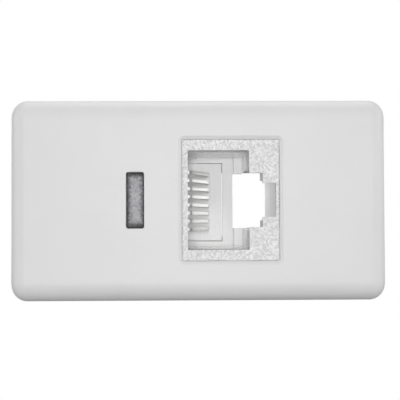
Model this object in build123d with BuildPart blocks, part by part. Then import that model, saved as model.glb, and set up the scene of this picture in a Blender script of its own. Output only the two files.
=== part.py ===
"""Eight-contact telephone socket module that snaps into a wall frame.

X runs along the face, Z is up and the face looks along -Y. The plane y = 0 is the back of the
rim, which seats on the wall frame. A depth is measured back from the front face.
Sizes are in millimetres and angles in degrees.
"""

import os
from math import radians, tan

from build123d import *

os.makedirs("parts", exist_ok=True)

# Front cover
rim_width = 45.6
rim_height = 24.6
cover_depth = 8.0
cover_draft = 1.0
edge_round = 2.4
end_round = 1.9
face_plate = 1.8
cover_wall = 1.6
inner_radius = 0.8

# Snap arms that hold the module in the wall frame
arm_gap = 0.75
arm_thickness = 1.2
arm_width = 8.0
arm_length = 16.2
frame_thickness = 2.2
arm_hook = 1.0
hook_land = 0.6
hook_ramp = 2.6
hook_undercut = 0.15

# Modular plug opening: width runs along Z, height runs along X from the contacts to the latch
plug_width = 11.96
plug_height = 7.38
shoulder_width = 6.52
shoulder_height = 1.63
tab_width = 4.1
tab_height = 1.59
catch_thickness = 4.0
catch_lip = 0.8
catch_relief = 0.4
cavity_depth = 12.8
latch_room_high = 4.0

# Jack housing
jack_centre = 3.85
jack_recess = 0.2
nose_contact_margin = 0.7
nose_latch_margin = 0.4
nose_side_margin = 1.3
nose_clearance = 0.04
nose_corner = 0.25
nose_bevel_width = 0.2
nose_bevel_depth = 0.08
body_step = 0.6
shoulder_gap = 0.05
rear_wall = 1.6
back_window_margin = 1.33
back_window_high = 3.84
back_window_low = 3.51
back_groove = 1.0
back_groove_width = 0.2
back_relief_width = 1.25
back_relief = 1.1
barb_width = 3.4
barb_height = 0.8
barb_length = 2.0
barb_depth = 5.6
peg_diameter = 1.6
peg_clearance = 0.05
jack_peg_length = 1.3
jack_peg_depth = 9.0

# Cover aperture and the walls that hold the jack and the board
aperture_corner = 0.3
lip_width = 0.4
lip_depth = 0.2
collar_clearance = 0.1
collar_thickness = 1.2
collar_length = 7.6
collar_width = 7.0
side_collar_width = 11.0
collar_window_play = 0.25
rail_clearance = 0.1
rail_thickness = 1.1
rail_inner = 5.6
rail_outer = 8.8
rail_length = 9.0

# Label window
window_centre = -7.62
window_width = 2.13
window_height = 6.72
window_corner = 0.25
window_round = 0.15
lens_clearance = 0.04
lens_recess = 0.4
lens_crown = 0.12
flange_overlap = 0.75
flange_thickness = 0.8
card_thickness = 0.3
card_inset = 0.1
pocket_wall = 0.7
pocket_clearance = 0.08
pocket_nib = 0.45
pocket_lip = 0.5

# Spring contacts
contact_count = 8
contact_pitch = 1.016
spring_width = 0.48
spring_thickness = 0.3
spring_edge = 0.06
bend_radius = 0.6
tail_depth = 4.2
tail_stub = 0.75
arm_root_lift = 0.25
tip_lift = 2.6
tip_gap = 0.3
arm_slope = 25.0

# Contact carrier
slot_width = 0.64
carrier_half = 5.18
carrier_clearance = 0.12
carrier_front = 3.45
carrier_base_gap = 0.06
carrier_block = 3.2
carrier_rise = 4.63
comb_depth = 0.5
comb_margin = 0.3
tail_slot_ahead = 0.35
tail_slot_behind = 0.65
carrier_peg_offset = 4.4

# Circuit board
board_thickness = 1.6
board_half = 8.5
board_gap = 0.8
board_length = 27.4
tail_hole_width = 0.6
tail_hole_length = 1.04
terminal_hole_width = 0.8
terminal_hole_length = 1.0

# Terminal block
block_gap = 0.6
block_base = 1.5
terminal_pitch = 2.9
terminals_per_row = 4
end_tooth = 1.35
tower_inner = 4.9
tower_thickness = 3.5
tower_height = 9.5
wire_slot = 1.2
wire_slot_depth = 4.3
tooth_point = 0.7
tooth_point_half = 0.3
block_peg_inset = 2.2

# Forked terminals
fork_width = 2.2
fork_thickness = 0.5
fork_height = 8.2
fork_slot = 0.38
fork_slot_depth = 3.0
fork_mouth = 0.55
fork_tail = 0.7
fork_tail_stub = 0.7
fork_clearance = 0.06

# Wire caps
cap_gap = 0.1
cap_top = 1.2
cap_skirt = 0.8
cap_skirt_depth = 4.2
cap_notch = 1.3
cap_notch_height = 1.5
rib_clearance = 0.1
rib_reach = 2.4
rib_window = 0.3
cap_round = 0.4

# Jack positions along X, from the contact side to the latch side
latch_reach = plug_height + shoulder_height + tab_height
nose_width = nose_contact_margin + latch_reach + nose_latch_margin
nose_height = plug_width + 2 * nose_side_margin
nose_left = jack_centre - nose_width / 2
nose_right = jack_centre + nose_width / 2
contact_wall = nose_left + nose_contact_margin
plug_top = contact_wall + plug_height
shoulder_top = plug_top + shoulder_height
tab_top = shoulder_top + tab_height
body_right = nose_right + body_step
body_half = nose_height / 2 + body_step
back_window_left = plug_top - back_window_margin

# Jack positions in depth
body_front = face_plate + shoulder_gap
catch_back = jack_recess + catch_thickness
cavity_back = jack_recess + cavity_depth
jack_back = cavity_back + rear_wall

# Cover positions
draft_loss = cover_depth * tan(radians(cover_draft))
inner_width = rim_width - 2 * (cover_wall + draft_loss)
inner_height = rim_height - 2 * (cover_wall + draft_loss)
aperture_width = nose_width + 2 * nose_clearance
aperture_height = nose_height + 2 * nose_clearance
arm_outer = inner_width / 2 - arm_gap
arm_inner = arm_outer - arm_thickness
hook_front = cover_depth + frame_thickness
collar_inner = body_half + collar_clearance
collar_back = face_plate + collar_length

# Board, carrier and contact positions
board_right = nose_left
board_left = board_right - board_thickness
board_front = face_plate + board_gap
board_back = board_front + board_length
carrier_back = cavity_back + carrier_block
carrier_base = nose_contact_margin - carrier_base_gap
carrier_right = board_right + carrier_base + carrier_rise
arm_root = contact_wall + arm_root_lift
arm_tip = contact_wall + tip_lift
knee_depth = tail_depth + (arm_tip - arm_root) / tan(radians(arm_slope))
tip_depth = cavity_back - tip_gap
contact_heights = [contact_pitch * (i - (contact_count - 1) / 2) for i in range(contact_count)]

# Terminal positions
block_front = carrier_back + block_gap
block_length = terminal_pitch * (terminals_per_row - 1) + wire_slot + 2 * end_tooth
block_back = block_front + block_length
first_terminal = block_front + end_tooth + wire_slot / 2
terminal_depths = [first_terminal + terminal_pitch * i for i in range(terminals_per_row)]
tower_outer = tower_inner + tower_thickness
tower_centre = tower_inner + tower_thickness / 2
tower_top = board_right + tower_height
slot_floor = tower_top - wire_slot_depth
block_peg_depths = [block_front + block_peg_inset, block_back - block_peg_inset]
fork_top = board_right + fork_height

# Label window positions
flange_width = window_width + 2 * flange_overlap
flange_height = window_height + 2 * flange_overlap
flange_back = face_plate + flange_thickness
card_back = flange_back + card_thickness


def to_y(depth):
    """Y of a depth behind the front face."""
    return depth - cover_depth


def at_depth(depth):
    """Plane parallel to the face, seen from the front, on which extrusions run forward."""
    return Plane.XZ.offset(cover_depth - depth)


def span(x_low, x_high, z_low, z_high):
    """Rectangle between two X values and two Z values on a plane parallel to the face."""
    with Locations(((x_low + x_high) / 2, (z_low + z_high) / 2)):
        Rectangle(x_high - x_low, z_high - z_low)


# Front cover: face plate and rim, hollow behind, open to the rear
with BuildPart() as front_cover:
    with BuildSketch(at_depth(cover_depth)):
        Rectangle(rim_width, rim_height)
    extrude(amount=cover_depth, taper=cover_draft)

    # Rounded front edges along the top and bottom, then both ends rounded all the way round
    front_face = front_cover.faces().sort_by(Axis.Y)[0]
    fillet(front_face.edges().filter_by(Axis.X), radius=edge_round)
    end_faces = front_cover.faces().sort_by(Axis.X)
    left_edges = end_faces[0].edges().sort_by(Axis.Y)[:-1]
    right_edges = end_faces[-1].edges().sort_by(Axis.Y)[:-1]
    fillet(left_edges + right_edges, radius=end_round)

    # Hollow behind the face plate
    with BuildSketch(at_depth(cover_depth)):
        RectangleRounded(inner_width, inner_height, inner_radius)
    extrude(amount=cover_depth - face_plate, mode=Mode.SUBTRACT)

    # Jack aperture with a softened front edge
    with BuildSketch(at_depth(face_plate)):
        with Locations((jack_centre, 0)):
            RectangleRounded(aperture_width, aperture_height, aperture_corner)
    extrude(amount=face_plate, mode=Mode.SUBTRACT)
    front_face = front_cover.faces().sort_by(Axis.Y)[0]
    lip_edges = front_face.inner_wires()[0].edges()
    chamfer(lip_edges, length=lip_width, length2=lip_depth, reference=front_face)

    # Label slot
    with BuildSketch(at_depth(face_plate)):
        with Locations((window_centre, 0)):
            RectangleRounded(window_width, window_height, window_corner)
    extrude(amount=face_plate, mode=Mode.SUBTRACT)
    front_face = front_cover.faces().sort_by(Axis.Y)[0]
    slot_edges = front_face.inner_wires().sort_by(Axis.X)[0].edges()
    fillet(slot_edges, radius=window_round)

    # Pocket behind the label slot, with a nib at each end that keeps the card in
    pocket_width = flange_width + 2 * pocket_clearance
    pocket_height = flange_height + 2 * pocket_clearance
    nib_front = card_back + pocket_clearance
    with BuildSketch(at_depth(nib_front + pocket_lip)):
        with Locations((window_centre, 0)):
            Rectangle(pocket_width + 2 * pocket_wall, pocket_height + 2 * pocket_wall)
            Rectangle(pocket_width, pocket_height, mode=Mode.SUBTRACT)
    extrude(amount=nib_front + pocket_lip - face_plate)
    with BuildSketch(at_depth(nib_front + pocket_lip)):
        with Locations((window_centre, 0)):
            Rectangle(pocket_width, pocket_height)
            Rectangle(pocket_width, pocket_height - 2 * pocket_nib, mode=Mode.SUBTRACT)
    extrude(amount=pocket_lip)

    # Collar plates above, below and beside the jack
    with BuildSketch(at_depth(collar_back)):
        for side in (-1, 1):
            with Locations((jack_centre, side * (collar_inner + collar_thickness / 2))):
                Rectangle(collar_width, collar_thickness)
        with Locations((body_right + collar_clearance + collar_thickness / 2, 0)):
            Rectangle(collar_thickness, side_collar_width)
    extrude(amount=collar_length)

    # Windows in the upper and lower collar plates for the barbs of the jack
    barb_window_front = barb_depth - collar_window_play
    barb_window_length = barb_length + 2 * collar_window_play
    with BuildSketch(Plane.XY):
        with Locations((jack_centre, to_y(barb_window_front + barb_window_length / 2))):
            Rectangle(barb_width + 2 * collar_window_play, barb_window_length)
    extrude(amount=collar_inner + collar_thickness, both=True, mode=Mode.SUBTRACT)

    # Rails that locate the board
    with BuildSketch(at_depth(face_plate + rail_length)):
        rail_right = board_left - rail_clearance
        span(rail_right - rail_thickness, rail_right, rail_inner, rail_outer)
        span(rail_right - rail_thickness, rail_right, -rail_outer, -rail_inner)
    extrude(amount=rail_length)

    # Snap arms at both ends, each with an outward hook behind the wall frame
    with BuildSketch(at_depth(face_plate + arm_length)):
        span(arm_inner, arm_outer, -arm_width / 2, arm_width / 2)
        span(-arm_outer, -arm_inner, -arm_width / 2, arm_width / 2)
    extrude(amount=arm_length)
    with BuildSketch(Plane.XY):
        for side in (-1, 1):
            with BuildLine():
                Polyline(
                    (side * arm_outer, to_y(hook_front)),
                    (side * (arm_outer + arm_hook), to_y(hook_front + hook_undercut)),
                    (side * (arm_outer + arm_hook), to_y(hook_front + hook_land)),
                    (side * arm_outer, to_y(hook_front + hook_land + hook_ramp)),
                    close=True,
                )
            make_face()
    extrude(amount=arm_width / 2, both=True)

# Label window: lens with a flange that seats behind the face plate
with BuildPart() as label_window:
    with BuildSketch(at_depth(flange_back)):
        with Locations((window_centre, 0)):
            Rectangle(flange_width, flange_height)
    extrude(amount=flange_thickness)
    with BuildSketch(at_depth(face_plate)):
        with Locations((window_centre, 0)):
            RectangleRounded(
                window_width - 2 * lens_clearance,
                window_height - 2 * lens_clearance,
                window_corner - lens_clearance,
            )
    extrude(amount=face_plate - lens_recess)
    lens_face = label_window.faces().sort_by(Axis.Y)[0]
    fillet(lens_face.edges(), radius=lens_crown)

# Label card: blank strip behind the lens
with BuildPart() as label_card:
    with BuildSketch(at_depth(card_back)):
        with Locations((window_centre, 0)):
            Rectangle(flange_width - 2 * card_inset, flange_height - 2 * card_inset)
    extrude(amount=card_thickness)

# Jack housing: nose in the aperture, body behind the face plate
with BuildPart() as jack_housing:
    with BuildSketch(at_depth(jack_back)):
        span(nose_left, body_right, -body_half, body_half)
    extrude(amount=jack_back - body_front)
    with BuildSketch(at_depth(body_front)):
        with Locations((jack_centre, 0)):
            RectangleRounded(nose_width, nose_height, nose_corner)
    extrude(amount=body_front - jack_recess)
    nose_face = jack_housing.faces().sort_by(Axis.Y)[0]
    chamfer(nose_face.edges(), length=nose_bevel_width, length2=nose_bevel_depth, reference=nose_face)

    # Plug cavity, and the two steps of the latch channel in the front wall
    with BuildSketch(at_depth(cavity_back)):
        span(contact_wall, plug_top, -plug_width / 2, plug_width / 2)
    extrude(amount=cavity_depth, mode=Mode.SUBTRACT)
    with BuildSketch(at_depth(catch_back)):
        span(plug_top, shoulder_top, -shoulder_width / 2, shoulder_width / 2)
        span(plug_top, tab_top, -tab_width / 2, tab_width / 2)
    extrude(amount=catch_thickness, mode=Mode.SUBTRACT)

    # Clearance behind the front lips of the catches
    shoulder_half = shoulder_width / 2 + catch_relief
    tab_half = tab_width / 2 + catch_relief
    with BuildSketch(at_depth(catch_back)):
        span(plug_top, shoulder_top, -shoulder_half, shoulder_half)
        span(plug_top, tab_top, -tab_half, tab_half)
    extrude(amount=catch_thickness - catch_lip, mode=Mode.SUBTRACT)

    # Latch room behind the catches, open to the rear, and the back window beside it
    with BuildSketch(at_depth(jack_back)):
        span(plug_top, tab_top, -back_window_low, latch_room_high)
    extrude(amount=jack_back - catch_back, mode=Mode.SUBTRACT)
    with BuildSketch(at_depth(jack_back)):
        span(back_window_left, plug_top, -back_window_low, back_window_high)
    extrude(amount=rear_wall, mode=Mode.SUBTRACT)

    # Groove and step in the back wall of the plug cavity
    with BuildSketch(at_depth(cavity_back + back_groove)):
        groove_right = back_window_left + back_groove_width
        span(back_window_left, groove_right, -plug_width / 2, plug_width / 2)
    extrude(amount=back_groove, mode=Mode.SUBTRACT)
    with BuildSketch(at_depth(cavity_back + back_relief)):
        span(contact_wall, contact_wall + back_relief_width, -plug_width / 2, plug_width / 2)
    extrude(amount=back_relief, mode=Mode.SUBTRACT)

    # Bay for the contact carrier: through the contact wall and through the back wall
    bay_half = carrier_half + carrier_clearance
    with BuildSketch(at_depth(jack_back)):
        span(nose_left, contact_wall, -bay_half, bay_half)
    extrude(amount=jack_back - carrier_front + carrier_clearance, mode=Mode.SUBTRACT)
    with BuildSketch(at_depth(jack_back)):
        span(nose_left, carrier_right + carrier_clearance, -bay_half, bay_half)
    extrude(amount=rear_wall, mode=Mode.SUBTRACT)

    # Barbs that click into the collar plates of the cover
    with BuildSketch(Plane.YZ.offset(jack_centre)):
        for side in (-1, 1):
            with BuildLine():
                Polyline(
                    (to_y(barb_depth), side * body_half),
                    (to_y(barb_depth + barb_length), side * (body_half + barb_height)),
                    (to_y(barb_depth + barb_length), side * body_half),
                    close=True,
                )
            make_face()
    extrude(amount=barb_width / 2, both=True)

    # Pegs that locate the housing on the board
    peg_height = (plug_width / 2 + body_half) / 2
    with BuildSketch(Plane.YZ.offset(nose_left)):
        with Locations((to_y(jack_peg_depth), peg_height), (to_y(jack_peg_depth), -peg_height)):
            Circle(peg_diameter / 2)
    extrude(amount=-jack_peg_length)

# Contact carrier: base on the board and an upright block with a comb for the contact tips
with BuildPart() as contact_carrier:
    with BuildSketch(at_depth(cavity_back)):
        span(board_right, board_right + carrier_base, -carrier_half, carrier_half)
    extrude(amount=cavity_back - carrier_front)
    with BuildSketch(at_depth(carrier_back)):
        span(board_right, carrier_right, -carrier_half, carrier_half)
    extrude(amount=carrier_block)

    # Comb slots for the tips, and holes in the base for the tails
    with BuildSketch(at_depth(cavity_back + comb_depth)):
        for height in contact_heights:
            slot_low = height - slot_width / 2
            slot_high = height + slot_width / 2
            span(board_right + carrier_base, arm_tip + comb_margin, slot_low, slot_high)
    extrude(amount=comb_depth, mode=Mode.SUBTRACT)
    with BuildSketch(Plane.YZ.offset(board_right)):
        tail_slot_length = tail_slot_ahead + tail_slot_behind
        tail_slot_centre = tail_depth + (tail_slot_behind - tail_slot_ahead) / 2
        for height in contact_heights:
            with Locations((to_y(tail_slot_centre), height)):
                Rectangle(tail_slot_length, slot_width)
    extrude(amount=carrier_base, mode=Mode.SUBTRACT)

    # Pegs into the board
    carrier_peg_depth = (cavity_back + comb_depth + carrier_back) / 2
    with BuildSketch(Plane.YZ.offset(board_right)):
        for side in (-1, 1):
            with Locations((to_y(carrier_peg_depth), side * carrier_peg_offset)):
                Circle(peg_diameter / 4)
    extrude(amount=-jack_peg_length)

# Spring contacts: one formed strip each, from the board up to just short of the comb
contact_springs = []
for number, height in enumerate(contact_heights, start=1):
    with BuildPart() as contact_spring:
        with BuildLine(Plane.XY.offset(height)) as strip_path:
            FilletPolyline(
                (board_left - tail_stub, to_y(tail_depth)),
                (arm_root, to_y(tail_depth)),
                (arm_tip, to_y(knee_depth)),
                (arm_tip, to_y(tip_depth)),
                radius=bend_radius,
            )
        tail_end = strip_path.line @ 0
        with BuildSketch(Plane(origin=tail_end, x_dir=(0, 0, 1), z_dir=strip_path.line % 0)):
            RectangleRounded(spring_width, spring_thickness, spring_edge)
        sweep(path=strip_path.line)
    contact_spring.part.label = f"contact_spring_{number}"
    contact_springs.append(contact_spring.part)

# Circuit board with slotted holes for the tails and round holes for the pegs
with BuildPart() as circuit_board:
    with BuildSketch(Plane.YZ.offset(board_left)):
        with Locations((to_y((board_front + board_back) / 2), 0)):
            Rectangle(board_length, 2 * board_half)
        for height in contact_heights:
            with Locations((to_y(tail_depth), height)):
                SlotOverall(tail_hole_length, tail_hole_width, mode=Mode.SUBTRACT)
        for side in (-1, 1):
            with Locations((to_y(jack_peg_depth), side * peg_height)):
                Circle(peg_diameter / 2 + peg_clearance, mode=Mode.SUBTRACT)
            with Locations((to_y(carrier_peg_depth), side * carrier_peg_offset)):
                Circle(peg_diameter / 4 + peg_clearance, mode=Mode.SUBTRACT)
            for depth in terminal_depths:
                with Locations((to_y(depth), side * tower_centre)):
                    SlotOverall(terminal_hole_length, terminal_hole_width, mode=Mode.SUBTRACT)
        for depth in block_peg_depths:
            with Locations((to_y(depth), 0)):
                Circle(peg_diameter / 2 + peg_clearance, mode=Mode.SUBTRACT)
    extrude(amount=board_thickness)

# Terminal block: base on the board with a toothed tower along each side
with BuildPart() as terminal_block:
    with BuildSketch(Plane.YZ.offset(board_right)):
        with Locations((to_y((block_front + block_back) / 2), 0)):
            Rectangle(block_length, 2 * tower_outer)
    extrude(amount=block_base)

    # Tower profile: teeth with pointed tops, wire slots between them
    tooth_edges = [block_front]
    for depth in terminal_depths:
        tooth_edges += [depth - wire_slot / 2, depth + wire_slot / 2]
    tooth_edges.append(block_back)
    with BuildSketch(Plane.XY.offset(tower_inner)):
        with BuildLine():
            outline = [(board_right, to_y(block_front))]
            for low, high in zip(tooth_edges[0::2], tooth_edges[1::2]):
                middle = (low + high) / 2
                outline += [
                    (slot_floor, to_y(low)),
                    (tower_top - tooth_point, to_y(low)),
                    (tower_top, to_y(middle - tooth_point_half)),
                    (tower_top, to_y(middle + tooth_point_half)),
                    (tower_top - tooth_point, to_y(high)),
                    (slot_floor, to_y(high)),
                ]
            outline.append((board_right, to_y(block_back)))
            Polyline(*outline, close=True)
        make_face()
    extrude(amount=tower_thickness)
    mirror(about=Plane.XY)

    # Pockets for the forked terminals
    with BuildSketch(Plane.YZ.offset(board_right)):
        for side in (-1, 1):
            for depth in terminal_depths:
                with Locations((to_y(depth), side * tower_centre)):
                    Rectangle(fork_width + 2 * fork_clearance, fork_thickness + 2 * fork_clearance)
    extrude(amount=fork_height + fork_clearance, mode=Mode.SUBTRACT)

    # Pegs into the board
    with BuildSketch(Plane.YZ.offset(board_right)):
        for depth in block_peg_depths:
            with Locations((to_y(depth), 0)):
                Circle(peg_diameter / 2)
    extrude(amount=-jack_peg_length)

# Forked terminals: flat blade, slit at the top for the wire, tail through the board
forked_terminals = []
for side in (1, -1):
    for depth in terminal_depths:
        with BuildPart() as idc_contact:
            with BuildSketch(Plane.XY.offset(side * tower_centre - fork_thickness / 2)):
                with BuildLine():
                    y = to_y(depth)
                    slit_floor = fork_top - fork_slot_depth
                    slit_mouth = fork_top - fork_mouth
                    Polyline(
                        (board_left - fork_tail_stub, y - fork_tail / 2),
                        (board_right, y - fork_tail / 2),
                        (board_right, y - fork_width / 2),
                        (fork_top, y - fork_width / 2),
                        (fork_top, y - fork_slot / 2 - fork_mouth),
                        (slit_mouth, y - fork_slot / 2),
                        (slit_floor, y - fork_slot / 2),
                        (slit_floor, y + fork_slot / 2),
                        (slit_mouth, y + fork_slot / 2),
                        (fork_top, y + fork_slot / 2 + fork_mouth),
                        (fork_top, y + fork_width / 2),
                        (board_right, y + fork_width / 2),
                        (board_right, y + fork_tail / 2),
                        (board_left - fork_tail_stub, y + fork_tail / 2),
                        close=True,
                    )
                make_face()
            extrude(amount=fork_thickness)
        idc_contact.part.label = f"idc_contact_{len(forked_terminals) + 1}"
        forked_terminals.append(idc_contact.part)

# Wire cap of the upper tower: plate over the teeth, outer skirt, ribs that push the wires down
cap_floor = tower_top + cap_gap
cap_outer = tower_outer + cap_gap + cap_skirt
with BuildPart() as wire_cap_upper:
    with BuildSketch(Plane.YZ.offset(cap_floor)):
        with Locations((to_y((block_front + block_back) / 2), (tower_inner + cap_outer) / 2)):
            Rectangle(block_length, cap_outer - tower_inner)
    extrude(amount=cap_top)
    top_face = wire_cap_upper.faces().sort_by(Axis.X)[-1]
    fillet(top_face.edges(), radius=cap_round)
    with BuildSketch(Plane.YZ.offset(cap_floor - cap_skirt_depth)):
        with Locations((to_y((block_front + block_back) / 2), cap_outer - cap_skirt / 2)):
            Rectangle(block_length, cap_skirt)
    extrude(amount=cap_skirt_depth)

    # Notches in the skirt where the wires leave
    with BuildSketch(Plane.YZ.offset(cap_floor - cap_skirt_depth)):
        for depth in terminal_depths:
            with Locations((to_y(depth), cap_outer - cap_skirt / 2)):
                Rectangle(cap_notch, cap_skirt)
    extrude(amount=cap_notch_height, mode=Mode.SUBTRACT)

    # Ribs that enter the wire slots on both sides of each blade
    rib_gap = fork_thickness / 2 + rib_window
    with BuildSketch(Plane.YZ.offset(cap_floor - rib_reach)):
        for depth in terminal_depths:
            with Locations((to_y(depth), (tower_inner + tower_outer) / 2)):
                Rectangle(wire_slot - 2 * rib_clearance, tower_thickness)
            with Locations((to_y(depth), tower_centre)):
                Rectangle(wire_slot, 2 * rib_gap, mode=Mode.SUBTRACT)
    extrude(amount=rib_reach)

# Wire cap of the lower tower: the mirror of the upper one
with BuildPart() as wire_cap_lower:
    mirror(wire_cap_upper.part, about=Plane.XY)

front_cover.part.label = "front_cover"
export_step(front_cover.part, "parts/front_cover.step")
label_window.part.label = "label_window"
export_step(label_window.part, "parts/label_window.step")
label_card.part.label = "label_card"
export_step(label_card.part, "parts/label_card.step")
jack_housing.part.label = "jack_housing"
export_step(jack_housing.part, "parts/jack_housing.step")
contact_carrier.part.label = "contact_carrier"
export_step(contact_carrier.part, "parts/contact_carrier.step")
circuit_board.part.label = "circuit_board"
export_step(circuit_board.part, "parts/circuit_board.step")
terminal_block.part.label = "terminal_block"
export_step(terminal_block.part, "parts/terminal_block.step")
wire_cap_upper.part.label = "wire_cap_upper"
export_step(wire_cap_upper.part, "parts/wire_cap_upper.step")
wire_cap_lower.part.label = "wire_cap_lower"
export_step(wire_cap_lower.part, "parts/wire_cap_lower.step")
for piece in contact_springs + forked_terminals:
    export_step(piece, f"parts/{piece.label}.step")
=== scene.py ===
"""Looks of the eight-contact telephone socket module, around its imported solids.

X runs along the face, Z is up and the face looks along -Y. Lengths in the code are in
millimetres and are multiplied by MM where Blender takes metres. A depth is measured back from
the front face.
"""

from math import radians

import bmesh
import bpy
from mathutils import Matrix, Vector


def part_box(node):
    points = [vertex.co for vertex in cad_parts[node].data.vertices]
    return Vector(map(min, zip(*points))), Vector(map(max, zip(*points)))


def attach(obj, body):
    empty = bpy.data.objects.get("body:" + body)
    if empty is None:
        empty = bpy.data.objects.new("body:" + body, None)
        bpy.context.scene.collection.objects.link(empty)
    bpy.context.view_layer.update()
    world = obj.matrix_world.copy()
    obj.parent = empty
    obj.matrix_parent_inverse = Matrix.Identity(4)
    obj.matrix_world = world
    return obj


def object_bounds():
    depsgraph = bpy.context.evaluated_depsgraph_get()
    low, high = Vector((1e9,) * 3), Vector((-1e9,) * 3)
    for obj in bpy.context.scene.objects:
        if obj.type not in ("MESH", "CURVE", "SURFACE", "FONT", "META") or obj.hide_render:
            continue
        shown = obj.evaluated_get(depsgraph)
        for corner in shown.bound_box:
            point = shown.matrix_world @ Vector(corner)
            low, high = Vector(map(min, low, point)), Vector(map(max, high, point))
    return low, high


MM = 0.001

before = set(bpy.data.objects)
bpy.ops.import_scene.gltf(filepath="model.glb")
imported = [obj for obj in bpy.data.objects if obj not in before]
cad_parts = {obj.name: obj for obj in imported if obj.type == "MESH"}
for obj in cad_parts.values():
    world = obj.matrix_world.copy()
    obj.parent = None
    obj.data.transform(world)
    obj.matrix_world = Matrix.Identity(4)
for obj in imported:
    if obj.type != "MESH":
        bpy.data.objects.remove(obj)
cad_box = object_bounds()
bpy.ops.object.select_all(action="DESELECT")

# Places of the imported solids
front_face = cad_box[0][1] / MM
board_low, board_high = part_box("circuit_board")
copper_side = board_low[0] / MM
board_middle = (board_low[0] + board_high[0]) / 2 / MM
board_half = (board_high[0] - board_low[0]) / 2 / MM

# Tails in the board: the spring contacts' all at one depth, the terminals' in a row on each side
contact_pitch = 1.016
contact_tail_depth = 4.2
terminal_pitch = 2.9
first_terminal_depth = 18.75
terminal_height = 6.65
tails_per_side = 4
side_names = {1: "upper", -1: "lower"}


def behind(depth):
    """Y in metres of a depth in millimetres."""
    return (front_face + depth) * MM


def linear(code):
    """Linear colour of an sRGB hex value such as "DEDEDE"."""
    shades = [int(code[i:i + 2], 16) / 255 for i in (0, 2, 4)]
    return [s / 12.92 if s <= 0.04045 else ((s + 0.055) / 1.055) ** 2.4 for s in shades] + [1.0]


def per_mm(size):
    """Texture scale at which one cell is this many millimetres across."""
    return 1 / (size * MM)


def add_node(tree, kind, inputs=None, **settings):
    """Adds one node, sets it up, and links or fills its inputs."""
    made = tree.nodes.new(kind)
    for name, value in settings.items():
        setattr(made, name, value)
    for socket, value in (inputs or {}).items():
        if isinstance(value, bpy.types.NodeSocket):
            tree.links.new(value, made.inputs[socket])
        else:
            made.inputs[socket].default_value = value
    return made


def new_finish(name, constants):
    """New material with its constant shader values set. Returns it, its tree and its shader."""
    finish = bpy.data.materials.new(name)
    finish.use_nodes = True
    shader = finish.node_tree.nodes["Principled BSDF"]
    for socket, value in constants.items():
        shader.inputs[socket].default_value = value
    return finish, finish.node_tree, shader


# Satin moulded ABS of the cover: an even pale grey-white with a soft sheen, a faint cloudiness from
# the melt and a fine matt texture. The texture is about 0.06 mm in the tool, drawn at 0.16 mm to show.
cover_abs, tree, shader = new_finish("ABS, satin moulded", {"IOR": 1.53})
place = add_node(tree, "ShaderNodeTexCoord").outputs["Object"]
cloud = add_node(tree, "ShaderNodeTexNoise", {"Vector": place, "Scale": per_mm(7.0), "Detail": 3.0})
grain = add_node(tree, "ShaderNodeTexNoise", {"Vector": place, "Scale": per_mm(0.16), "Detail": 2.0})
shade = add_node(tree, "ShaderNodeMix", {
    "Factor": cloud.outputs["Fac"], "A": linear("DBDBDB"), "B": linear("E1E1E1")},
    data_type="RGBA")
gloss = add_node(tree, "ShaderNodeMapRange", {
    "Value": grain.outputs["Fac"], "To Min": 0.42, "To Max": 0.58})
relief = add_node(tree, "ShaderNodeBump", {
    "Height": grain.outputs["Fac"], "Strength": 0.35, "Distance": 0.006 * MM})
tree.links.new(shade.outputs[2], shader.inputs["Base Color"])
tree.links.new(gloss.outputs["Result"], shader.inputs["Roughness"])
tree.links.new(relief.outputs["Normal"], shader.inputs["Normal"])

# Spark-eroded PBT of the jack: the tool's pitted surface gives its face a dry, speckled white, with
# pits about 0.2 mm wide; the darker specks are painted shade in the pits. They fade inside the jack,
# where the side walls are polished for the plug, and there the colour is painted a lighter white,
# painted light that lifts the shaded inside of the jack.
pitted_depth = 0.85
faded_depth = 1.4
polish_start_depth = 0.6
polish_full_depth = 6.0
plug_side_edge = 6.2
jack_pbt, tree, shader = new_finish("PBT, spark-eroded moulding", {"IOR": 1.55})
surface = add_node(tree, "ShaderNodeTexCoord")
place = surface.outputs["Object"]
axes = add_node(tree, "ShaderNodeSeparateXYZ", {0: place})
front = add_node(tree, "ShaderNodeMapRange", {
    "Value": axes.outputs["Y"], "From Min": behind(pitted_depth), "From Max": behind(faded_depth),
    "To Min": 1.0, "To Max": 0.25})
pits = add_node(tree, "ShaderNodeTexNoise", {
    "Vector": place, "Scale": per_mm(0.22), "Detail": 2.0, "Roughness": 0.6})
depth = add_node(tree, "ShaderNodeMapRange", {
    "Value": pits.outputs["Fac"], "From Min": 0.3, "From Max": 0.7, "To Min": -0.5, "To Max": 0.5})
depth = add_node(tree, "ShaderNodeMath", {
    0: depth.outputs["Result"], 1: front.outputs["Result"], 2: 0.5}, operation="MULTIPLY_ADD")
# painted shade: the colour darkens where the pits are deepest
grain_and_pit_shade = add_node(tree, "ShaderNodeMix", {
    "Factor": depth.outputs[0], "A": linear("C8C8C8"), "B": linear("FAFAFA")}, data_type="RGBA")
# painted light: inside the jack the colour turns a lighter white than the face
shade = add_node(tree, "ShaderNodeMix", {
    "Factor": front.outputs["Result"], "A": linear("F6F6F6"), "B": grain_and_pit_shade.outputs[2]}, data_type="RGBA")
facing = add_node(tree, "ShaderNodeSeparateXYZ", {0: surface.outputs["Normal"]})
facing = add_node(tree, "ShaderNodeMath", {0: facing.outputs["Y"]}, operation="ABSOLUTE")
beside = add_node(tree, "ShaderNodeMath", {0: facing.outputs[0], 1: 0.5}, operation="LESS_THAN")
plug_side = add_node(tree, "ShaderNodeMath", {
    0: axes.outputs["X"], 1: plug_side_edge * MM}, operation="LESS_THAN")
polish = add_node(tree, "ShaderNodeMath", {
    0: beside.outputs[0], 1: plug_side.outputs[0]}, operation="MULTIPLY")
gloss = add_node(tree, "ShaderNodeMapRange", {
    "Value": front.outputs["Result"], "To Min": 0.38, "To Max": 0.7})
smooth = add_node(tree, "ShaderNodeMapRange", {
    "Value": axes.outputs["Y"], "From Min": behind(polish_start_depth),
    "From Max": behind(polish_full_depth), "To Min": 0.0, "To Max": -0.38})
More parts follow.
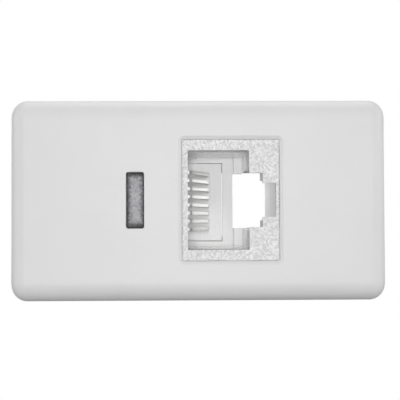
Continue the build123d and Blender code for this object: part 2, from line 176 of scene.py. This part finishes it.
gloss = add_node(tree, "ShaderNodeMath", {
    0: polish.outputs[0], 1: smooth.outputs["Result"], 2: gloss.outputs["Result"]},
    operation="MULTIPLY_ADD")
relief = add_node(tree, "ShaderNodeBump", {
    "Height": depth.outputs[0], "Strength": 0.6, "Distance": 0.03 * MM})
tree.links.new(shade.outputs[2], shader.inputs["Base Color"])
tree.links.new(gloss.outputs[0], shader.inputs["Roughness"])
tree.links.new(relief.outputs["Normal"], shader.inputs["Normal"])

# Glass-filled PBT of the contact carrier: smooth and pale, with faint flow streaks across the comb
carrier_pbt, tree, shader = new_finish("PBT, glass-filled, moulded", {"IOR": 1.55})
place = add_node(tree, "ShaderNodeTexCoord").outputs["Object"]
drawn = add_node(tree, "ShaderNodeMapping", {"Vector": place, "Scale": (1.0, 1.0, 0.25)})
streak = add_node(tree, "ShaderNodeTexNoise", {
    "Vector": drawn.outputs[0], "Scale": per_mm(0.5), "Detail": 4.0})
shade = add_node(tree, "ShaderNodeMix", {
    "Factor": streak.outputs["Fac"], "A": linear("EAEAEA"), "B": linear("F6F6F6")}, data_type="RGBA")
gloss = add_node(tree, "ShaderNodeMapRange", {
    "Value": streak.outputs["Fac"], "To Min": 0.35, "To Max": 0.55})
relief = add_node(tree, "ShaderNodeBump", {
    "Height": streak.outputs["Fac"], "Strength": 0.4, "Distance": 0.01 * MM})
tree.links.new(shade.outputs[2], shader.inputs["Base Color"])
tree.links.new(gloss.outputs["Result"], shader.inputs["Roughness"])
tree.links.new(relief.outputs["Normal"], shader.inputs["Normal"])

# Smoked polycarbonate of the label window: a dark, slightly flecked margin that fades along a
# wandering edge into a frosted, mottled field. The dark margin is painted shade, where the window's
# edges would shadow the card behind the lens.
field_across = -7.58
field_up = 0.04
field_half_width = 0.67
field_half_height = 2.76
field_corner = 0.25
field_edge_half = 0.36
edge_wander = 0.7
window_pc, tree, shader = new_finish("Polycarbonate, smoked, etched", {"IOR": 1.585})
place = add_node(tree, "ShaderNodeTexCoord").outputs["Object"]
field = add_node(tree, "ShaderNodeMapping", {
    "Vector": place, "Location": (-field_across * MM, 0.0, -field_up * MM)})
ripple = add_node(tree, "ShaderNodeTexNoise", {
    "Vector": place, "Scale": per_mm(0.55), "Detail": 3.0, "Roughness": 0.6, "Distortion": 1.2})
speck = add_node(tree, "ShaderNodeTexNoise", {
    "Vector": place, "Scale": per_mm(0.28), "Detail": 1.0})
axes = add_node(tree, "ShaderNodeSeparateXYZ", {0: field.outputs[0]})
across = add_node(tree, "ShaderNodeMath", {0: axes.outputs["X"]}, operation="ABSOLUTE")
across = add_node(tree, "ShaderNodeMath", {
    0: field_half_width * MM, 1: across.outputs[0]}, operation="SUBTRACT")
along = add_node(tree, "ShaderNodeMath", {0: axes.outputs["Z"]}, operation="ABSOLUTE")
along = add_node(tree, "ShaderNodeMath", {
    0: field_half_height * MM, 1: along.outputs[0]}, operation="SUBTRACT")
inside = add_node(tree, "ShaderNodeMath", {
    0: across.outputs[0], 1: along.outputs[0], 2: field_corner * MM}, operation="SMOOTH_MIN")
wander = add_node(tree, "ShaderNodeMath", {
    0: speck.outputs["Fac"], 1: edge_wander * MM, 2: -edge_wander / 2 * MM}, operation="MULTIPLY_ADD")
inside = add_node(tree, "ShaderNodeMath", {
    0: inside.outputs[0], 1: wander.outputs[0]}, operation="ADD")
frosted = add_node(tree, "ShaderNodeMapRange", {
    "Value": inside.outputs[0], "From Min": -field_edge_half * MM, "From Max": field_edge_half * MM},
    interpolation_type="SMOOTHSTEP")
mottle = add_node(tree, "ShaderNodeMapRange", {
    "Value": ripple.outputs["Fac"], "From Min": 0.3, "From Max": 0.7})
mottle = add_node(tree, "ShaderNodeMix", {
    "Factor": mottle.outputs["Result"], "A": linear("828286"), "B": linear("B2B2B6")}, data_type="RGBA")
fleck = add_node(tree, "ShaderNodeTexNoise", {"Vector": place, "Scale": per_mm(0.9), "Detail": 2.0})
fleck = add_node(tree, "ShaderNodeMapRange", {
    "Value": fleck.outputs["Fac"], "From Min": 0.5, "From Max": 0.68})
# painted shade: the dark margin round the frosted field
margin_shade = add_node(tree, "ShaderNodeMix", {
    "Factor": fleck.outputs["Result"], "A": linear("141414"), "B": linear("3A3A3A")}, data_type="RGBA")
shade = add_node(tree, "ShaderNodeMix", {
    "Factor": frosted.outputs["Result"], "A": margin_shade.outputs[2], "B": mottle.outputs[2]}, data_type="RGBA")
gloss = add_node(tree, "ShaderNodeMapRange", {
    "Value": frosted.outputs["Result"], "To Min": 0.62, "To Max": 0.55})
relief = add_node(tree, "ShaderNodeBump", {
    "Height": ripple.outputs["Fac"], "Strength": 0.5, "Distance": 0.03 * MM})
tree.links.new(shade.outputs[2], shader.inputs["Base Color"])
tree.links.new(gloss.outputs["Result"], shader.inputs["Roughness"])
tree.links.new(relief.outputs["Normal"], shader.inputs["Normal"])

# Grey pulp board of the label card: matt, with short fibres about 0.08 mm wide, drawn at 0.2 mm
card_pulp, tree, shader = new_finish("Pulp board, uncoated", {"Roughness": 0.9})
place = add_node(tree, "ShaderNodeTexCoord").outputs["Object"]
drawn = add_node(tree, "ShaderNodeMapping", {"Vector": place, "Scale": (1.0, 1.0, 0.3)})
fibre = add_node(tree, "ShaderNodeTexNoise", {
    "Vector": drawn.outputs[0], "Scale": per_mm(0.2), "Detail": 5.0, "Roughness": 0.7})
shade = add_node(tree, "ShaderNodeMix", {
    "Factor": fibre.outputs["Fac"], "A": linear("86868A"), "B": linear("C2C2C4")}, data_type="RGBA")
relief = add_node(tree, "ShaderNodeBump", {
    "Height": fibre.outputs["Fac"], "Strength": 0.5, "Distance": 0.02 * MM})
tree.links.new(shade.outputs[2], shader.inputs["Base Color"])
tree.links.new(relief.outputs["Normal"], shader.inputs["Normal"])

# Nickel-plated spring strip: bright and silvery along the arm, with fine lines from rolling along its
# length. The tail and the bend are painted a slightly greyer metal, painted shade that dims the
# lamps' glints on the bend.
# The lines are drawn at 0.08 mm, coarser than real ones, to show.
bend_shade_end_depth = 5.1
strip_nickel, tree, shader = new_finish("Nickel-plated phosphor bronze strip", {"Metallic": 1.0})
place = add_node(tree, "ShaderNodeTexCoord").outputs["Object"]
drawn = add_node(tree, "ShaderNodeMapping", {"Vector": place, "Scale": (0.4, 0.06, 1.0)})
line = add_node(tree, "ShaderNodeTexNoise", {
    "Vector": drawn.outputs[0], "Scale": per_mm(0.08), "Detail": 3.0})
bright = add_node(tree, "ShaderNodeMix", {
    "Factor": line.outputs["Fac"], "A": linear("E4E4E2"), "B": linear("F6F6F4")}, data_type="RGBA")
axes = add_node(tree, "ShaderNodeSeparateXYZ", {0: place})
bend_shade_fade = add_node(tree, "ShaderNodeMapRange", {
    "Value": axes.outputs["Y"], "From Min": behind(contact_tail_depth),
    "From Max": behind(bend_shade_end_depth)})
# painted shade: a greyer metal on the tail and round the bend, fading out along the arm
shade = add_node(tree, "ShaderNodeMix", {
    "Factor": bend_shade_fade.outputs["Result"], "A": linear("DCDCDA"), "B": bright.outputs[2]}, data_type="RGBA")
gloss = add_node(tree, "ShaderNodeMapRange", {
    "Value": line.outputs["Fac"], "To Min": 0.28, "To Max": 0.42})
tree.links.new(shade.outputs[2], shader.inputs["Base Color"])
tree.links.new(gloss.outputs["Result"], shader.inputs["Roughness"])

# Glass-epoxy laminate of the board: green solder mask over a woven glass cloth of about 0.5 mm pitch,
# and bare straw-coloured layers along the sawn edges and in the holes. A wave texture draws about
# three bands to a cell.
cloth_pitch = 0.5
layer_pitch = 0.18
bands_per_cell = 3.14
mask_thickness = 0.02
board_laminate, tree, shader = new_finish("Glass-epoxy laminate, solder-masked", {"IOR": 1.55})
place = add_node(tree, "ShaderNodeTexCoord").outputs["Object"]
axes = add_node(tree, "ShaderNodeSeparateXYZ", {0: place})
middle = add_node(tree, "ShaderNodeMath", {
    0: axes.outputs["X"], 1: board_middle * MM}, operation="SUBTRACT")
middle = add_node(tree, "ShaderNodeMath", {0: middle.outputs[0]}, operation="ABSOLUTE")
masked = add_node(tree, "ShaderNodeMapRange", {
    "Value": middle.outputs[0], "From Min": (board_half - 2 * mask_thickness) * MM,
    "From Max": (board_half - mask_thickness) * MM})
warp = add_node(tree, "ShaderNodeTexWave", {
    "Vector": place, "Scale": per_mm(cloth_pitch) / bands_per_cell, "Distortion": 0.6, "Detail": 1.0},
    bands_direction="Y")
weft = add_node(tree, "ShaderNodeTexWave", {
    "Vector": place, "Scale": per_mm(cloth_pitch) / bands_per_cell, "Distortion": 0.6, "Detail": 1.0},
    bands_direction="Z")
weave = add_node(tree, "ShaderNodeMath", {
    0: warp.outputs["Fac"], 1: weft.outputs["Fac"]}, operation="MULTIPLY")
mask_green = add_node(tree, "ShaderNodeMix", {
    "Factor": weave.outputs[0], "A": linear("1E5636"), "B": linear("2B6B45")}, data_type="RGBA")
layers = add_node(tree, "ShaderNodeTexWave", {
    "Vector": place, "Scale": per_mm(layer_pitch) / bands_per_cell, "Distortion": 2.0},
    bands_direction="X")
straw = add_node(tree, "ShaderNodeMix", {
    "Factor": layers.outputs["Fac"], "A": linear("A89F6C"), "B": linear("C9C191")}, data_type="RGBA")
shade = add_node(tree, "ShaderNodeMix", {
    "Factor": masked.outputs["Result"], "A": straw.outputs[2], "B": mask_green.outputs[2]},
    data_type="RGBA")
gloss = add_node(tree, "ShaderNodeMapRange", {
    "Value": masked.outputs["Result"], "To Min": 0.85, "To Max": 0.32})
relief = add_node(tree, "ShaderNodeBump", {
    "Height": weave.outputs[0], "Strength": 0.3, "Distance": 0.01 * MM})
tree.links.new(shade.outputs[2], shader.inputs["Base Color"])
tree.links.new(gloss.outputs["Result"], shader.inputs["Roughness"])
tree.links.new(relief.outputs["Normal"], shader.inputs["Normal"])

# Natural PBT of the terminal block: a warmer off-white than the jack, satin, with soft sink shading
block_pbt, tree, shader = new_finish("PBT, natural, moulded", {"IOR": 1.55})
place = add_node(tree, "ShaderNodeTexCoord").outputs["Object"]
cloud = add_node(tree, "ShaderNodeTexNoise", {"Vector": place, "Scale": per_mm(3.0), "Detail": 3.0})
grain = add_node(tree, "ShaderNodeTexNoise", {"Vector": place, "Scale": per_mm(0.18), "Detail": 2.0})
shade = add_node(tree, "ShaderNodeMix", {
    "Factor": cloud.outputs["Fac"], "A": linear("DAD9D4"), "B": linear("E6E5E1")}, data_type="RGBA")
gloss = add_node(tree, "ShaderNodeMapRange", {
    "Value": grain.outputs["Fac"], "To Min": 0.35, "To Max": 0.6})
relief = add_node(tree, "ShaderNodeBump", {
    "Height": grain.outputs["Fac"], "Strength": 0.4, "Distance": 0.01 * MM})
tree.links.new(shade.outputs[2], shader.inputs["Base Color"])
tree.links.new(gloss.outputs["Result"], shader.inputs["Roughness"])
tree.links.new(relief.outputs["Normal"], shader.inputs["Normal"])

# Tin-plated bronze of the forked terminals: grey-white metal with the blotchy bloom of a dipped finish
blade_tin, tree, shader = new_finish("Tin-plated bronze, stamped", {"Metallic": 1.0})
place = add_node(tree, "ShaderNodeTexCoord").outputs["Object"]
bloom = add_node(tree, "ShaderNodeTexVoronoi", {"Vector": place, "Scale": per_mm(0.35)})
haze = add_node(tree, "ShaderNodeTexNoise", {"Vector": place, "Scale": per_mm(0.6), "Detail": 4.0})
shade = add_node(tree, "ShaderNodeMix", {
    "Factor": haze.outputs["Fac"], "A": linear("A9A7A2"), "B": linear("D2D1CE")}, data_type="RGBA")
gloss = add_node(tree, "ShaderNodeMapRange", {
    "Value": bloom.outputs["Distance"], "To Min": 0.24, "To Max": 0.46})
tree.links.new(shade.outputs[2], shader.inputs["Base Color"])
tree.links.new(gloss.outputs["Result"], shader.inputs["Roughness"])

# Milky polycarbonate of the wire caps: cool white and smoother than the block below
cap_pc, tree, shader = new_finish("Polycarbonate, milky, moulded", {"IOR": 1.585})
place = add_node(tree, "ShaderNodeTexCoord").outputs["Object"]
swirl = add_node(tree, "ShaderNodeTexNoise", {
    "Vector": place, "Scale": per_mm(2.2), "Detail": 3.0, "Distortion": 0.8})
grain = add_node(tree, "ShaderNodeTexNoise", {"Vector": place, "Scale": per_mm(0.15), "Detail": 2.0})
shade = add_node(tree, "ShaderNodeMix", {
    "Factor": swirl.outputs["Fac"], "A": linear("D3D7DA"), "B": linear("E4E7E9")}, data_type="RGBA")
gloss = add_node(tree, "ShaderNodeMapRange", {
    "Value": grain.outputs["Fac"], "To Min": 0.22, "To Max": 0.4})
relief = add_node(tree, "ShaderNodeBump", {
    "Height": grain.outputs["Fac"], "Strength": 0.3, "Distance": 0.005 * MM})
tree.links.new(shade.outputs[2], shader.inputs["Base Color"])
tree.links.new(gloss.outputs["Result"], shader.inputs["Roughness"])
tree.links.new(relief.outputs["Normal"], shader.inputs["Normal"])

# Solder of the board joints: bright tin that froze with a slightly grained, silky skin
joint_solder, tree, shader = new_finish("Tin solder, wave-soldered", {"Metallic": 1.0})
place = add_node(tree, "ShaderNodeTexCoord").outputs["Object"]
frost = add_node(tree, "ShaderNodeTexNoise", {"Vector": place, "Scale": per_mm(0.12), "Detail": 3.0})
shade = add_node(tree, "ShaderNodeMix", {
    "Factor": frost.outputs["Fac"], "A": linear("B4B4B2"), "B": linear("DADAD8")}, data_type="RGBA")
gloss = add_node(tree, "ShaderNodeMapRange", {
    "Value": frost.outputs["Fac"], "To Min": 0.18, "To Max": 0.36})
relief = add_node(tree, "ShaderNodeBump", {
    "Height": frost.outputs["Fac"], "Strength": 0.4, "Distance": 0.01 * MM})
tree.links.new(shade.outputs[2], shader.inputs["Base Color"])
tree.links.new(gloss.outputs["Result"], shader.inputs["Roughness"])
tree.links.new(relief.outputs["Normal"], shader.inputs["Normal"])

# Copper track under the solder mask: a lighter, yellower green than the bare laminate, still glossy
masked_copper, tree, shader = new_finish("Copper track, solder-masked", {"IOR": 1.55})
place = add_node(tree, "ShaderNodeTexCoord").outputs["Object"]
flow = add_node(tree, "ShaderNodeTexNoise", {"Vector": place, "Scale": per_mm(0.9), "Detail": 3.0})
shade = add_node(tree, "ShaderNodeMix", {
    "Factor": flow.outputs["Fac"], "A": linear("3F8450"), "B": linear("589A60")}, data_type="RGBA")
gloss = add_node(tree, "ShaderNodeMapRange", {
    "Value": flow.outputs["Fac"], "To Min": 0.24, "To Max": 0.36})
tree.links.new(shade.outputs[2], shader.inputs["Base Color"])
tree.links.new(gloss.outputs["Result"], shader.inputs["Roughness"])

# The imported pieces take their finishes
finish_of_slot = {
    "cover_plastic": cover_abs, "lens_plastic": window_pc, "card": card_pulp,
    "jack_plastic": jack_pbt, "carrier_plastic": carrier_pbt, "contact_metal": strip_nickel,
    "board": board_laminate, "block_plastic": block_pbt, "terminal_metal": blade_tin,
    "cap_plastic": cap_pc,
}
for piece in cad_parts.values():
    for material_slot in piece.material_slots:
        material_slot.material = finish_of_slot[material_slot.material.name]


def pick(piece, wanted):
    """In edit mode, selects only the faces whose normal passes the test."""
    bpy.ops.mesh.select_all(action="DESELECT")
    shape = bmesh.from_edit_mesh(piece.data)
    for face in shape.faces:
        face.select_set(wanted(face.normal))
    bmesh.update_edit_mesh(piece.data)


def copy_of(model, name, move):
    """Copy of a modelled piece with its own mesh, moved by millimetres and left selected."""
    bpy.ops.object.select_all(action="DESELECT")
    model.select_set(True)
    bpy.context.view_layer.objects.active = model
    bpy.ops.object.duplicate(linked=False)
    piece = bpy.context.object
    piece.name = name
    bpy.ops.transform.translate(value=Vector(move) * MM)
    return piece


def settle(piece, finish):
    """Puts a selected piece's place into its mesh and fixes it to the module in its finish."""
    bpy.ops.object.transform_apply(location=True, rotation=True, scale=True)
    piece.data.materials.clear()
    piece.data.materials.append(finish)
    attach(piece, "module")
    bpy.ops.object.select_all(action="DESELECT")


# Solder joint on the copper side of the board: a pad, and a hollow-sided cone drawn up the tail.
# It is modelled once at the height of the board's middle, then copied to every tail.
pad_radius = 0.42
pad_thickness = 0.06
pad_margin = 0.03
cone_steps = ((0.05, 0.9), (0.09, 0.86), (0.14, 0.9), (0.16, 0.94))
bpy.ops.mesh.primitive_cylinder_add(
    vertices=24, radius=pad_radius * MM, depth=pad_thickness * MM,
    location=(copper_side * MM, 0, 0), rotation=(0, radians(-90), 0))
joint_model = bpy.context.object
bpy.ops.object.transform_apply(location=True, rotation=True, scale=True)
bpy.ops.object.mode_set(mode="EDIT")
pick(joint_model, lambda normal: normal.x < -0.9)
bpy.ops.mesh.inset(thickness=pad_margin * MM)
for rise, narrowing in cone_steps:
    bpy.ops.mesh.extrude_region_move(TRANSFORM_OT_translate={"value": (-rise * MM, 0, 0)})
    bpy.ops.transform.resize(value=(1, narrowing, narrowing), center_override=(0, 0, 0))
bpy.ops.object.mode_set(mode="OBJECT")
rounding = joint_model.modifiers.new("rounding", "SUBSURF")
rounding.levels = 1
rounding.render_levels = 1
bpy.ops.object.modifier_apply(modifier="rounding")
bpy.ops.object.shade_smooth()

# Tails of the spring contacts, on narrow pads
narrow_pad = (1.0, 1.35, 1.0)
contact_heights = [(number + 0.5) * contact_pitch for number in range(tails_per_side)]
both_heights = contact_heights + [-height for height in contact_heights]
for number, height in enumerate(both_heights, start=1):
    tail = (0, front_face + contact_tail_depth, height)
    joint = copy_of(joint_model, f"spring_solder_{number}", tail)
    joint.scale = narrow_pad
    settle(joint, joint_solder)

# Tails of the forked terminals, on larger pads
wide_pad = (1.0, 2.0, 1.65)
terminal_depths = [first_terminal_depth + number * terminal_pitch for number in range(tails_per_side)]
for side, side_name in side_names.items():
    for number, depth in enumerate(terminal_depths, start=1):
        tail = (0, front_face + depth, side * terminal_height)
        joint = copy_of(joint_model, f"blade_solder_{side_name}_{number}", tail)
        joint.scale = wide_pad
        settle(joint, joint_solder)
bpy.data.objects.remove(joint_model)

# Tracks under the mask, from each spring tail back to its terminal, the innermost to the last one.
# Between the two ends, each track's bends are listed as (depth, height).
track_half_width = 0.17
track_flatness = 0.26
track_bends = [
    [(6.4, contact_heights[0]), (9.19, 3.3), (23.9, 3.3), (27.25, terminal_height)],
    [(6.0, contact_heights[1]), (8.48, 4.0), (12.2, 4.0), (13.4, 5.2), (22.9, 5.2),
     (24.35, terminal_height)],
    [(5.6, contact_heights[2]), (7.66, 4.6), (11.9, 4.6), (13.05, 5.75), (20.6, 5.75),
     (21.5, terminal_height)],
    [(5.2, contact_heights[3]), (6.85, 5.2), (11.6, 5.2), (13.05, terminal_height)],
]
track_starts = [(contact_tail_depth, height) for height in contact_heights]
track_ends = [(depth, terminal_height) for depth in reversed(terminal_depths)]
for side, side_name in side_names.items():
    for number, (start, bends, end) in enumerate(zip(track_starts, track_bends, track_ends), start=1):
        route = [start, *bends, end]
        path = bpy.data.curves.new("track", "CURVE")
        path.dimensions = "3D"
        path.bevel_depth = track_half_width * MM
        path.bevel_resolution = 2
        path.use_fill_caps = True
        run = path.splines.new("POLY")
        run.points.add(len(route) - 1)
        for point, (depth, height) in zip(run.points, route):
            point.co = (0, behind(depth), side * height * MM, 1)
        track = bpy.data.objects.new(f"track_{side_name}_{number}", path)
        bpy.context.scene.collection.objects.link(track)
        track.select_set(True)
        bpy.context.view_layer.objects.active = track
        bpy.ops.object.convert(target="MESH")
        track.location.x = copper_side * MM
        track.scale = (track_flatness, 1, 1)
        bpy.ops.object.shade_smooth()
        settle(track, masked_copper)

# Marks of the ejector pins on the back of the face plate: a shallow disc with a raised rim
plate_back_depth = 1.8
mark_radius = 1.5
mark_thickness = 0.12
mark_rim = 0.16
mark_slope = 0.03
mark_dish = 0.045
mark_softening = 0.02
mark_across = 15.5
mark_up = 6.5
bpy.ops.mesh.primitive_cylinder_add(
    vertices=40, radius=mark_radius * MM, depth=mark_thickness * MM,
    location=(0, behind(plate_back_depth), 0), rotation=(radians(-90), 0, 0))
mark_model = bpy.context.object
bpy.ops.object.transform_apply(location=True, rotation=True, scale=True)
bpy.ops.object.mode_set(mode="EDIT")
pick(mark_model, lambda normal: normal.y > 0.9)
bpy.ops.mesh.inset(thickness=mark_rim * MM)
bpy.ops.mesh.inset(thickness=mark_slope * MM, depth=-mark_dish * MM)
bpy.ops.object.mode_set(mode="OBJECT")
softening = mark_model.modifiers.new("softening", "BEVEL")
softening.width = mark_softening * MM
softening.segments = 2
bpy.ops.object.modifier_apply(modifier="softening")
bpy.ops.object.shade_smooth_by_angle(angle=radians(40))
mark_places = [(x, 0, z) for z in (mark_up, -mark_up) for x in (-mark_across, mark_across)]
for number, mark_place in enumerate(mark_places, start=1):
    mark = copy_of(mark_model, f"ejector_mark_{number}", mark_place)
    settle(mark, cover_abs)
bpy.data.objects.remove(mark_model)

# Camera at the photograph's viewpoint, almost square to the face. The angles are in radians.
viewpoint = (-1.348, -105.605, -2.202)
focal_length = 73.461
view_turn = -0.0154
view_rise = 0.0226
view_roll = -0.0038
camera_data = bpy.data.cameras.new("camera")
camera_data.sensor_width = 36.0
camera_data.lens = focal_length
camera_data.clip_start = 1 * MM
camera = bpy.data.objects.new("camera", camera_data)
bpy.context.scene.collection.objects.link(camera)
turn = Matrix.Rotation(view_turn, 4, "Z")
tilt = Matrix.Rotation(radians(90) + view_rise, 4, "X")
roll = Matrix.Rotation(view_roll, 4, "Z")
stand = Matrix.Translation(Vector(viewpoint) * MM)
camera.matrix_world = stand @ turn @ tilt @ roll
bpy.context.scene.camera = camera

# World: white to the eye and in reflections, and no other light, which the lamps give
world = bpy.data.worlds.new("studio")
world.use_nodes = True
bpy.context.scene.world = world
tree = world.node_tree
background = tree.nodes["Background"]
ray = add_node(tree, "ShaderNodeLightPath")
seen = add_node(tree, "ShaderNodeMath", {
    0: ray.outputs["Is Camera Ray"], 1: ray.outputs["Is Glossy Ray"]}, operation="MAXIMUM")
seen = add_node(tree, "ShaderNodeMath", {
    0: seen.outputs[0], 1: ray.outputs["Is Transmission Ray"]}, operation="MAXIMUM")
background.inputs["Color"].default_value = (1, 1, 1, 1)
tree.links.new(seen.outputs[0], background.inputs["Strength"])


def soft_lamp(name, place, size, watts):
    """Square soft lamp at a place in millimetres, aimed at the middle of the module."""
    lamp_data = bpy.data.lights.new(name, "AREA")
    lamp_data.size = size * MM
    lamp_data.energy = watts
    lamp = bpy.data.objects.new(name, lamp_data)
    bpy.context.scene.collection.objects.link(lamp)
    lamp.location = Vector(place) * MM
    aim = -Vector(place)
    lamp.rotation_euler = aim.to_track_quat("-Z", "Y").to_euler()


# The front lamp is small, to reach into the jack. The last one shines through the jack's back window
# onto the flat of the contacts.
soft_lamp("front_softbox", (-2, -205, 0), 25, 0.172)
soft_lamp("window_softbox", (230, -460, 130), 130, 0.27)
soft_lamp("high_softbox", (0, -430, 300), 260, 0.44)
soft_lamp("top_softbox", (0, 120, 420), 300, 0.9)
soft_lamp("left_softbox", (-420, -70, 60), 260, 0.55)
soft_lamp("right_softbox", (420, -70, 60), 260, 0.55)
soft_lamp("back_softbox", (-190, 450, 40), 130, 0.33)
soft_lamp("strip_softbox", (310, 360, 20), 60, 0.07)

bpy.context.scene.view_settings.view_transform = "Standard"

# Floor below the part, which a wall frame holds in use. It keeps the shadow near the part and fades
# to white further out.
floor_size = 1200
floor_drop = 45
shadow_reach = 40
white_reach = 85
bpy.ops.mesh.primitive_plane_add(size=floor_size * MM, location=(0, 0, -floor_drop * MM))
floor = bpy.context.object
floor.name = "floor"

# Matt paint of the floor: an even grey with hardly any sheen
floor_paint, tree, shader = new_finish("Paint, matt", {
    "Roughness": 0.9, "Base Color": linear("A8A8A8")})
place = add_node(tree, "ShaderNodeTexCoord").outputs["Object"]
reach = add_node(tree, "ShaderNodeVectorMath", {0: place}, operation="LENGTH")
fade = add_node(tree, "ShaderNodeMapRange", {
    "Value": reach.outputs["Value"], "From Min": shadow_reach * MM, "From Max": white_reach * MM})
ray = add_node(tree, "ShaderNodeLightPath")
seen = add_node(tree, "ShaderNodeMath", {
    0: ray.outputs["Is Camera Ray"], 1: fade.outputs["Result"]}, operation="MULTIPLY")
glow = add_node(tree, "ShaderNodeEmission", {"Color": (1, 1, 1, 1), "Strength": 1.0})
mixed = add_node(tree, "ShaderNodeMixShader", {
    0: seen.outputs[0], 1: shader.outputs[0], 2: glow.outputs[0]})
tree.links.new(mixed.outputs[0], tree.nodes["Material Output"].inputs["Surface"])
floor.data.materials.append(floor_paint)
